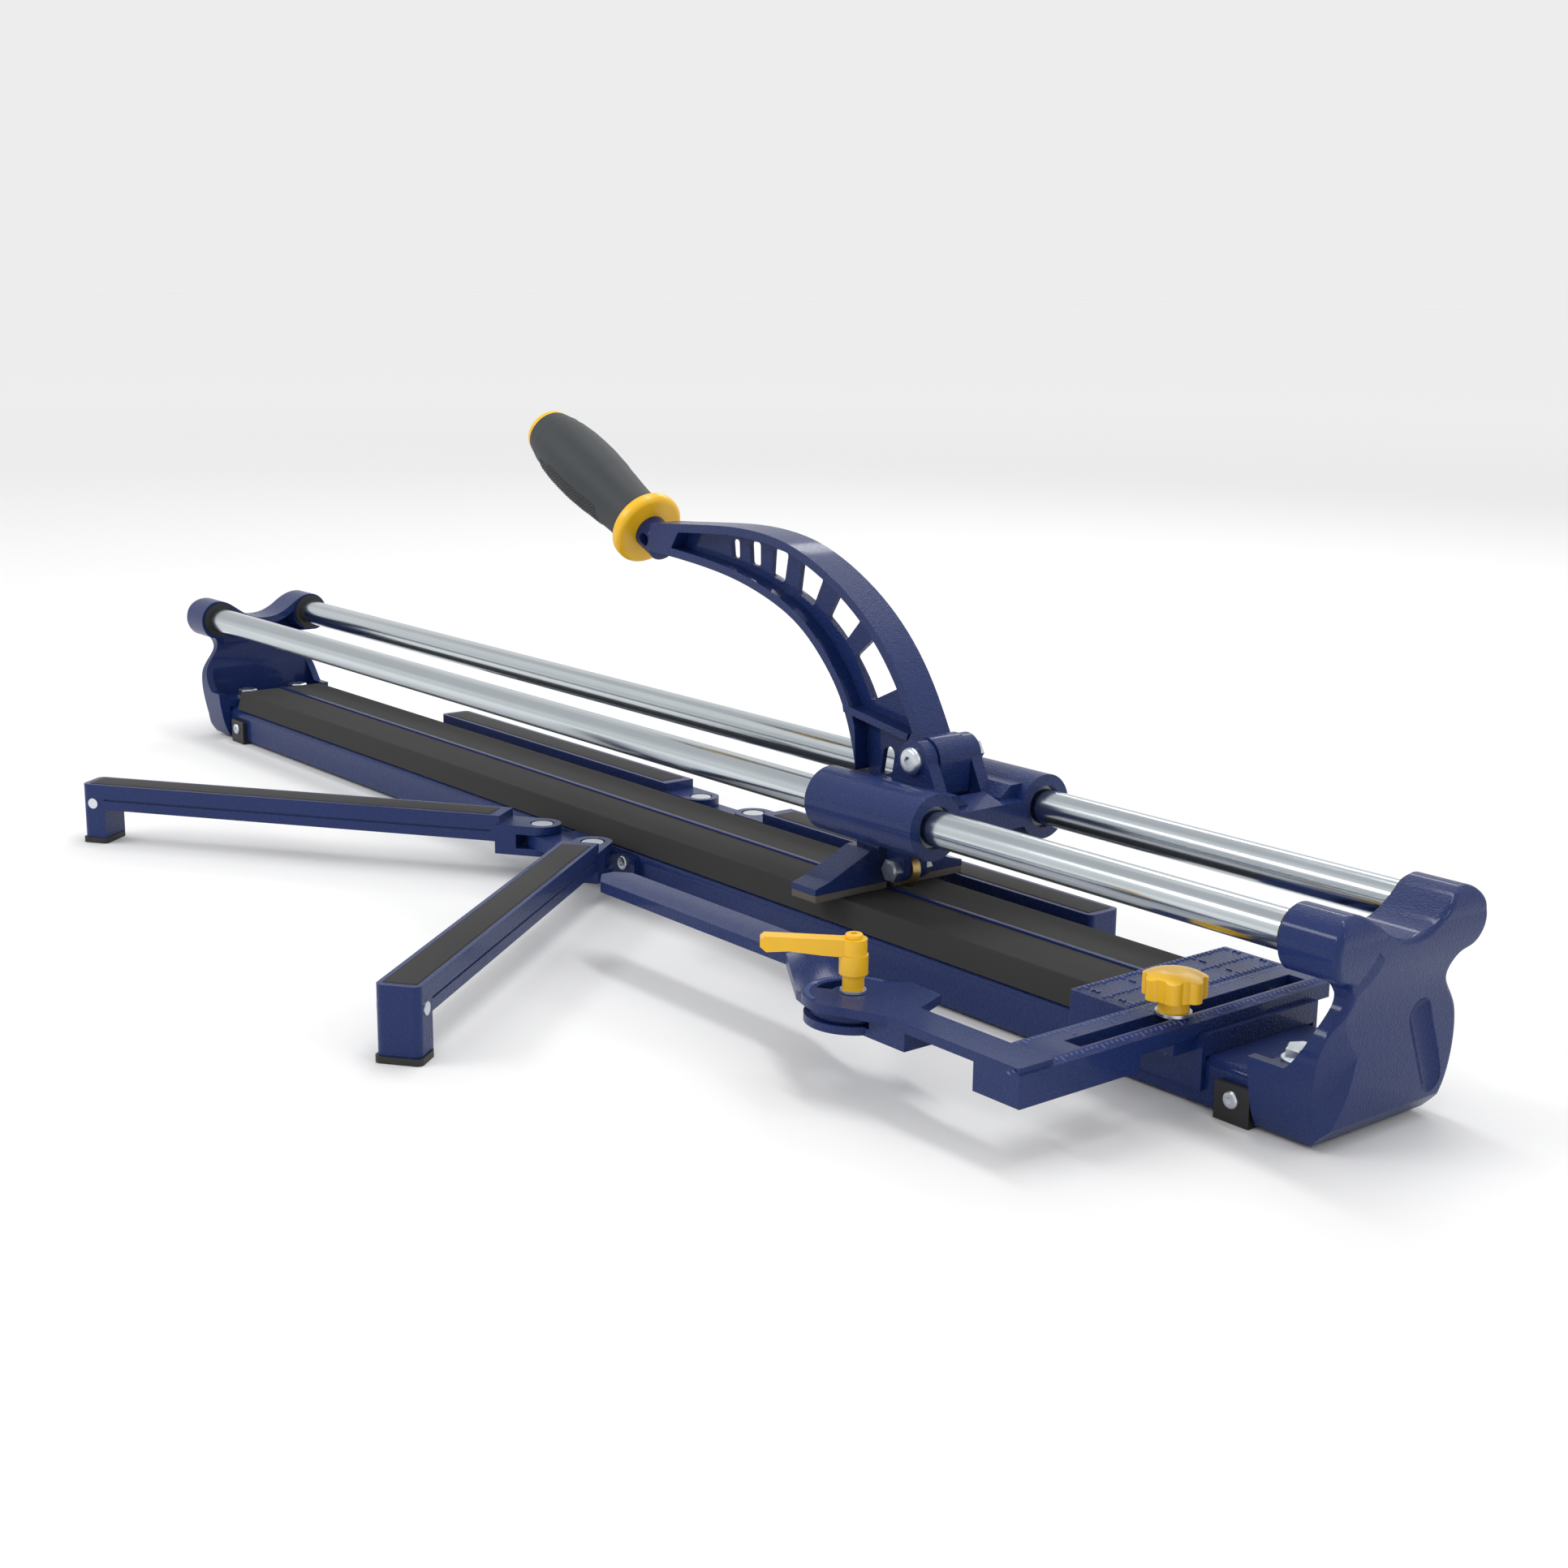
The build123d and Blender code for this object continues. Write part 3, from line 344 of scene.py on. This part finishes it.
# %% Rubbers and foams
RUBBERS = [
    ("foam_pad", (0.017, 0.0165, 0.017), (0.032, 0.031, 0.031), 1900, 0.00016, 0.88),
    ("arm_rubber", (0.019, 0.0185, 0.019), (0.034, 0.033, 0.033), 1900, 0.00012, 0.84),
    ("black_rubber", (0.007, 0.007, 0.008), (0.014, 0.014, 0.015), 1500, 0.00006, 0.5),
    ("sole_rubber", (0.07, 0.062, 0.055), (0.1, 0.09, 0.08), 1700, 0.0001, 0.8),
    ("grip_rubber", (0.021, 0.026, 0.03), (0.03, 0.035, 0.04), 2300, 0.00005, 0.6),
]


def rubber(name, dark, light, grain, depth, rough):
    """Matte rubber with pores and a dusty bloom."""
    material, shader, at = new_material(name)
    pores = at.noise(grain, 3, 0.6)
    bloom = at.noise(36, 4, 0.6)
    feed(shader, "Base Color", (bloom * 0.7 + pores * 0.3).mix((*dark, 1), (*light, 1)))
    feed(shader, "Roughness", (rough - 0.06) + 0.12 * bloom)
    bump(shader, pores, depth, 0.6, edge=0.0004)
    return material


for row in RUBBERS:
    finishes[row[0]] = rubber(*row)
material, shader, at = new_material("bush_plastic")
wear = at.noise(300, 3)
feed(shader, "Base Color", wear.mix((0.5, 0.53, 0.56, 1), (0.62, 0.65, 0.68, 1)))
feed(shader, "Roughness", 0.42 + 0.14 * wear)
bump(shader, at.noise(1800), 0.00003, 0.3, edge=0.0003)
finishes["bush_plastic"] = material
print("finishes", sorted(finishes))

# %% [markdown]
# Each CAD node gets the finish that its record names, so no piece can be missed. The floor gets its paper.

# %% Finishes onto the nodes
for row in frame["record"]["subparts"]:
    node = nodes[row["node"]]
    node.data.materials.clear()
    node.data.materials.append(finishes[row["material_slot"]])
material, shader, at = new_material("floor_paper")
distance = at.node("ShaderNodeVectorMath", {"operation": "LENGTH"}, out=1, i0=at)
feed(shader, "Base Color", distance.step(1.0, 6.0).mix(FLOOR_COLOUR, FAR_FLOOR_COLOUR))
feed(shader, "Roughness", 0.7 + 0.1 * at.noise(40))
floor.data.materials.append(material)

# %% [markdown]
# A soft piece starts as a copy of its CAD solid or as a primitive. The copy's loose triangles are merged
# and flat faces rejoined, and then its edges are rolled over with a bevel, as a cut edge of foam does.

# %% Modelling helpers


def alone(piece):
    """Make one piece the only selected and active object."""
    if bpy.context.mode != "OBJECT":
        bpy.ops.object.mode_set(mode="OBJECT")
    bpy.ops.object.select_all(action="DESELECT")
    piece.select_set(True)
    bpy.context.view_layer.objects.active = piece


def choose(piece, test, kind="FACE"):
    """Enter edit mode with only the elements selected whose middle passes the test."""
    alone(piece)
    bpy.ops.object.mode_set(mode="EDIT")
    bpy.ops.mesh.select_mode(type=kind)
    bpy.ops.mesh.select_all(action="DESELECT")
    bpy.ops.object.mode_set(mode="OBJECT")
    mesh = piece.data
    count = 0
    for part in {"FACE": mesh.polygons, "EDGE": mesh.edges, "VERT": mesh.vertices}[kind]:
        if kind == "VERT":
            part.select = bool(test(part.co))
        elif kind == "EDGE":
            ends = [mesh.vertices[i].co for i in part.vertices]
            part.select = bool(test((ends[0] + ends[1]) / 2, ends[1] - ends[0]))
        else:
            part.select = bool(test(part.center, part.normal))
        count += part.select
    bpy.ops.object.mode_set(mode="EDIT")
    return count


def roll_edges(piece, width, segments=3, angle=30):
    """Round every sharp edge, then shade smooth where the surface is gentle."""
    bpy.ops.object.mode_set(mode="OBJECT")
    alone(piece)
    bevel = piece.modifiers.new("roll", "BEVEL")
    bevel.width = width
    bevel.segments = segments
    bevel.limit_method = "ANGLE"
    bevel.angle_limit = math.radians(angle)
    bpy.ops.object.modifier_apply(modifier=bevel.name)
    bpy.ops.object.shade_smooth_by_angle(angle=math.radians(35))


def finish_piece(piece, body, slot_name, replaced=(), look=None):
    """Give a piece its finish and body, and hide the CAD nodes it stands for."""
    piece.data.materials.clear()
    piece.data.materials.append(look or finishes[slot_name])
    if replaced:
        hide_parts(*replaced)
    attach(piece, body)
    print("piece", piece.name, "faces", len(piece.data.polygons))


def merged_copy(node_name, name):
    """Copy of a CAD node with its triangles merged and its flat faces rejoined."""
    piece = bpy.data.objects.new(name, nodes[node_name].data.copy())
    bpy.context.scene.collection.objects.link(piece)
    alone(piece)
    bpy.ops.object.mode_set(mode="EDIT")
    bpy.ops.mesh.select_all(action="SELECT")
    bpy.ops.mesh.customdata_custom_splitnormals_clear()
    bpy.ops.mesh.remove_doubles(threshold=0.00001)
    bpy.ops.mesh.dissolve_limited(angle_limit=math.radians(1))
    bpy.ops.mesh.normals_make_consistent(inside=False)
    return piece


# %% [markdown]
# The two long pads are foam cut on a slant along the outside. Each starts as a cube at its CAD size: the
# outer top edge is moved inwards, the length is divided, and the top is roughened by a tenth of a
# millimetre.

# %% Foam pads
PAD_SLANT = 4.1 * MM
PAD_CUTS = 60
PAD_ROLL = 0.7 * MM
PAD_DIP = 0.12 * MM
PAD_ROUGHNESS = 0.1 * MM
for seed, (side, name) in enumerate(((-1, "near_pad"), (1, "far_pad"))):
    low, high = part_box(name)
    bpy.ops.mesh.primitive_cube_add(size=1, location=(low + high) / 2)
    pad = bpy.context.object
    pad.name = name + "_foam"
    pad.scale = high - low
    bpy.ops.object.transform_apply(location=True, rotation=True, scale=True)
    outer_y = low.y if side < 0 else high.y
    choose(pad, lambda co: co.z > high.z - MM and abs(co.y - outer_y) < MM, "VERT")
    bpy.ops.transform.translate(value=(0, -side * PAD_SLANT, 0))
    choose(pad, lambda middle, along: abs(along.x) > 0.5, "EDGE")
    bpy.ops.mesh.subdivide(number_cuts=PAD_CUTS)
    roll_edges(pad, PAD_ROLL)
    choose(pad, lambda co: co.z > high.z - 0.05 * MM and low.x + MM < co.x < high.x - MM, "VERT")
    bpy.ops.transform.translate(value=(0, 0, -PAD_DIP))
    bpy.ops.transform.vertex_random(offset=PAD_ROUGHNESS, seed=seed)
    bpy.ops.object.mode_set(mode="OBJECT")
    finish_piece(pad, "frame", "foam_pad", [name])

# %% [markdown]
# The arms carry a rubber strip let into the top, and the breaker foot has two soles. They keep their CAD
# shape, with rolled edges.

# %% Rubber strips and soles
for arm in ("near_rear", "near_front", "far_rear", "far_front"):
    strip = merged_copy(arm + "_arm_pad", arm + "_arm_strip")
    roll_edges(strip, 0.8 * MM)
    finish_piece(strip, arm + "_arm_body", "arm_rubber", [arm + "_arm_pad"])
soles = merged_copy("foot_soles", "foot_sole_rubber")
roll_edges(soles, 0.5 * MM)
finish_piece(soles, "handle", "sole_rubber", ["foot_soles"])

# %% [markdown]
# The soft grip is rubber moulded over the handle's tang. It could be spun from an outline, but here it is
# turned from a circle: the ring is extruded and resized step by step along the handle's axis, which gives
# the near-square faces that the next step needs.

# %% Soft grip
GRIP_SIDES = 52
GRIP_PROFILE = [(9, 17.3), (11, 17.6), (24, 17.2), (34, 17.9), (45, 18.9), (58, 20.1), (70, 20.9), (81, 20.9),
                (92, 20.6), (101, 19.7), (110, 18.4), (117, 16.9), (122, 15.6)]
GRIP_START = GRIP_PROFILE[0][0]
GRIP_END = GRIP_PROFILE[-1][0]
GRIP_STEP = 2.7
GRIP_ANGLE = math.radians(154.6)
COLLAR_FACE = Vector((2.0, 0.0, 212.5)) * MM
origin_move = Vector((0, (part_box("near_rail")[0].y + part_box("far_rail")[1].y) / 2, 2.5 * MM))


def grip_radius(distance):
    """Radius of the grip at a distance from the collar's face, both in millimetres."""
    for (d0, r0), (d1, r1) in zip(GRIP_PROFILE, GRIP_PROFILE[1:]):
        if distance <= d1:
            part = (distance - d0) / (d1 - d0)
            if abs(r1 - r0) > 1:
                part = part * part * (3 - 2 * part)
            return r0 + (r1 - r0) * part
    return GRIP_PROFILE[-1][1]


bpy.ops.object.select_all(action="DESELECT")
bpy.ops.mesh.primitive_circle_add(vertices=GRIP_SIDES, radius=grip_radius(GRIP_START) * MM,
                                  fill_type="NGON", location=(0, 0, GRIP_START * MM))
grip = bpy.context.object
grip.name = "soft_grip"
bpy.ops.object.transform_apply(location=True, rotation=True, scale=True)
rings = round((GRIP_END - GRIP_START) / GRIP_STEP)
step = (GRIP_END - GRIP_START) / rings
bpy.ops.object.mode_set(mode="EDIT")
bpy.ops.mesh.select_all(action="SELECT")
for i in range(rings):
    before = grip_radius(GRIP_START + i * step)
    after = grip_radius(GRIP_START + (i + 1) * step)
    centre = (0, 0, (GRIP_START + (i + 1) * step) * MM)
    bpy.ops.mesh.extrude_region_move(TRANSFORM_OT_translate={"value": (0, 0, step * MM)})
    bpy.ops.transform.resize(value=(after / before, after / before, 1), center_override=centre)
bpy.ops.mesh.select_all(action="SELECT")
bpy.ops.mesh.normals_make_consistent(inside=False)
bpy.ops.object.mode_set(mode="OBJECT")
print("grip rings", rings)

# %% [markdown]
# The hand's side of the grip has a patch of raised diamonds. Poking the faces and dissolving the old edges
# turns squares into diamonds, and each is then inset and pushed out. A bump pattern would be quicker, but
# it would leave the grip's own mesh smooth.

# %% Diamonds on the grip
PATCH_START = 36
PATCH_END = 104
PATCH_SPREAD = 0.45
DIAMOND_INSET = 0.3 * MM
DIAMOND_RISE = 0.45 * MM
along = Vector((math.cos(GRIP_ANGLE), 0, math.sin(GRIP_ANGLE)))
across = Vector((0, 1, 0))
third = along.cross(across)
turn = Matrix((across, third, along)).transposed().to_4x4()
down = turn.to_3x3().transposed() @ Vector((0, -0.35, -1)).normalized()


def in_patch(centre, normal):
    """True on the underside, away from both ends."""
    return PATCH_START * MM < centre.z < PATCH_END * MM and normal.dot(down) > PATCH_SPREAD


def middle_key(point):
    """Rounded middle of an edge, so that it can be found again after an operator renumbers it."""
    return tuple(round(v, 6) for v in point)


choose(grip, in_patch)
bpy.ops.object.mode_set(mode="OBJECT")
shared = {}
for face in grip.data.polygons:
    for a, b in face.edge_keys if face.select else ():
        middle = middle_key((grip.data.vertices[a].co + grip.data.vertices[b].co) / 2)
        shared[middle] = shared.get(middle, 0) + 1
inner = {middle for middle, faces in shared.items() if faces == 2}
bpy.ops.object.mode_set(mode="EDIT")
bpy.ops.mesh.poke()
choose(grip, lambda middle, direction: middle_key(middle) in inner, "EDGE")
bpy.ops.mesh.dissolve_edges(use_verts=False)
choose(grip, in_patch)
bpy.ops.object.mode_set(mode="OBJECT")
for face in grip.data.polygons:
    heights = {round(grip.data.vertices[v].co.z, 6) for v in face.vertices}
    face.select = face.select and len(face.vertices) == 4 and len(heights) >= 3
diamonds = sum(face.select for face in grip.data.polygons)
bpy.ops.object.mode_set(mode="EDIT")
bpy.ops.mesh.inset(thickness=DIAMOND_INSET, depth=DIAMOND_RISE, use_individual=True)
bpy.ops.object.mode_set(mode="OBJECT")
bpy.ops.object.shade_smooth_by_angle(angle=math.radians(28))
grip.matrix_world = Matrix.Translation(COLLAR_FACE + origin_move) @ turn
bpy.ops.object.transform_apply(location=True, rotation=True, scale=True)
finish_piece(grip, "handle", "grip_rubber", ["grip"])
print("raised diamonds", diamonds)

# %% [markdown]
# The ruler marks are cast proud of the metal. One mark is a small block with its top drawn in, as a casting
# needs a slope to leave its mould. Copies of it make every scale, each with its own mesh, and each scale is
# joined into one piece. The numbers are plain digits that count inches from the cutting line.

# %% Ruler marks
INCH = 25.4 * MM
EIGHTH = INCH / 8
MARK_WIDE = 1.15 * MM
fence_low, fence_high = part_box("ruler_fence")
ext_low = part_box("extension_bar")[0]
PLATE_Z = 43.5 * MM
LINE_Y = origin_move.y


def make_mark(length, height):
    """One raised mark along X from the origin."""
    bpy.ops.object.select_all(action="DESELECT")
    bpy.ops.mesh.primitive_cube_add(size=1, location=(0.5, 0, 0.5))
    mark = bpy.context.object
    bpy.ops.object.transform_apply(location=True, rotation=True, scale=True)
    mark.scale = (length, MARK_WIDE, height)
    bpy.ops.object.transform_apply(location=False, rotation=False, scale=True)
    choose(mark, lambda centre, normal: normal.z > 0.9)
    bpy.ops.transform.resize(value=(0.92, 0.6, 1), center_override=(length / 2, 0, height))
    bpy.ops.object.mode_set(mode="OBJECT")
    return mark


def join(parts, name):
    """Join parts into one piece with its place in its mesh."""
    bpy.ops.object.select_all(action="DESELECT")
    for part in parts:
        part.select_set(True)
    bpy.context.view_layer.objects.active = parts[0]
    bpy.ops.object.join()
    whole = bpy.context.object
    whole.name = name
    bpy.ops.object.transform_apply(location=True, rotation=True, scale=True)
    return whole


def place_copy(source, matrix):
    """Copy of a part with its own mesh, put in place."""
    made = bpy.data.objects.new("mark", source.data.copy())
    bpy.context.scene.collection.objects.link(made)
    made.data.transform(matrix)
    return made


def scale_row(x, first, last, z, height, facing, tilt=0.0, longest=1.0):
    """Marks every eighth of an inch along Y; facing is 1 or -1 along X."""
    made = []
    sources = {4: make_mark(4.2 * MM * longest, height), 2: make_mark(3.2 * MM * longest, height),
               1: make_mark(2.2 * MM * longest, height)}
    start = math.ceil((first - LINE_Y) / EIGHTH)
    for i in range(start, math.floor((last - LINE_Y) / EIGHTH) + 1):
        size = 4 if i % 8 == 0 else 2 if i % 4 == 0 else 1
        flip = Matrix.Rotation(math.pi if facing < 0 else 0, 4, "Z") @ Matrix.Rotation(tilt, 4, "Y")
        made.append(place_copy(sources[size], Matrix.Translation((x, LINE_Y + i * EIGHTH, z)) @ flip))
    for source in sources.values():
        bpy.data.objects.remove(source)
    return made


def digit(number, x, y, z, tall, height):
    """Raised digit that reads from the ruler end."""
    bpy.ops.object.select_all(action="DESELECT")
    bpy.ops.object.text_add(location=(x, y, z), rotation=(0, 0, math.pi / 2))
    text = bpy.context.object
    text.data.body = str(number)
    text.data.size = tall
    text.data.align_x = "CENTER"
    text.data.align_y = "CENTER"
    text.data.extrude = height
    text.data.resolution_u = 3
    bpy.ops.object.convert(target="MESH")
    return bpy.context.object


print("eighth of an inch in mm", round(EIGHTH / MM, 3))

# %% [markdown]
# The ruler plate has three rows of marks, two along its edges and a shorter one between, and two rows of
# numbers. Each row could be typed out, but a table of offsets keeps them alike.

# %% Marks on the plate
PLATE_MARK = 0.6 * MM
PLATE_ROWS = [(1 * MM, 1, 1.0), (34.6 * MM, -1, 1.0), (17.5 * MM, 1, 0.7)]
PLATE_DIGITS = [(10 * MM, 6 * MM), (26.5 * MM, 5 * MM)]
first = fence_low.y + 4 * MM
last = fence_high.y - 3 * MM
plate_marks = []
for offset, facing, longest in PLATE_ROWS:
    plate_marks += scale_row(fence_low.x + offset, first, last, PLATE_Z, PLATE_MARK, facing, longest=longest)
for inch in (-2, -1, 0, 1, 2):
    for offset, tall in PLATE_DIGITS:
        y = LINE_Y + inch * INCH
        plate_marks.append(digit(abs(inch), fence_low.x + offset, y, PLATE_Z, tall, PLATE_MARK))
finish_piece(join(plate_marks, "plate_marks"), "frame", "blue_hammered_paint", look=marks_painted_highlight_coat)

# %% [markdown]
# The sliding extension has its own scale beside the slot and another on the sloping lip. These marks are
# joined as a second piece that rides the extension. One piece for all the marks would be shorter, but then
# the scale would stay behind when the extension slides.

# %% Marks on the extension
THIN_MARK = 0.17 * MM
BACK_ROW_X = 457 * MM
LIP_ROW_X = 480.2 * MM
LIP_TILT = math.radians(22.6)
LIP_MARK = 0.3 * MM
EXT_DIGIT_X = 464.5 * MM
EXT_DIGIT = 4.4 * MM
last = LINE_Y + 50 * MM
ext_marks = scale_row(BACK_ROW_X, ext_low.y + 26 * MM, last, PLATE_Z, THIN_MARK, 1)
ext_marks += scale_row(LIP_ROW_X, ext_low.y + 8 * MM, last, PLATE_Z - LIP_MARK, LIP_MARK, 1, LIP_TILT, 0.8)
for inch in range(1, 5):
    ext_marks.append(digit(inch, EXT_DIGIT_X, LINE_Y - inch * INCH, PLATE_Z, EXT_DIGIT, THIN_MARK))
finish_piece(join(ext_marks, "extension_marks"), "extension", "blue_hammered_paint", look=marks_painted_highlight_coat)

# %% [markdown]
# The round plate under the clamp lever is a protractor, with a mark every five degrees along the rim that
# shows beside the angle fence. They are copies of one block turned about the fence's pivot, which the CAD
# frame gives.

# %% Protractor marks
RIM_START = 20.2 * MM
HUB_TOP = 44.5 * MM
pivot = next(joint for joint in frame["joints"] if joint["name"] == "angle_fence_swing")["pos_m"]
hub = Vector((pivot[0], pivot[1], HUB_TOP))
RIM_MARK = (2.6 * MM, 0.35 * MM)
source = make_mark(*RIM_MARK)
rim = [place_copy(source, Matrix.Translation(hub) @ Matrix.Rotation(math.radians(angle), 4, "Z")
                  @ Matrix.Translation((RIM_START, 0, 0))) for angle in range(100, 261, 5)]
bpy.data.objects.remove(source)
finish_piece(join(rim, "protractor_marks"), "extension", "blue_hammered_paint", look=marks_painted_highlight_coat)

# %% [markdown]
# The bounds of every piece that shows, apart from the floor, are taken now, at the end.

# %% Sizes and the end
low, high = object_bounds()
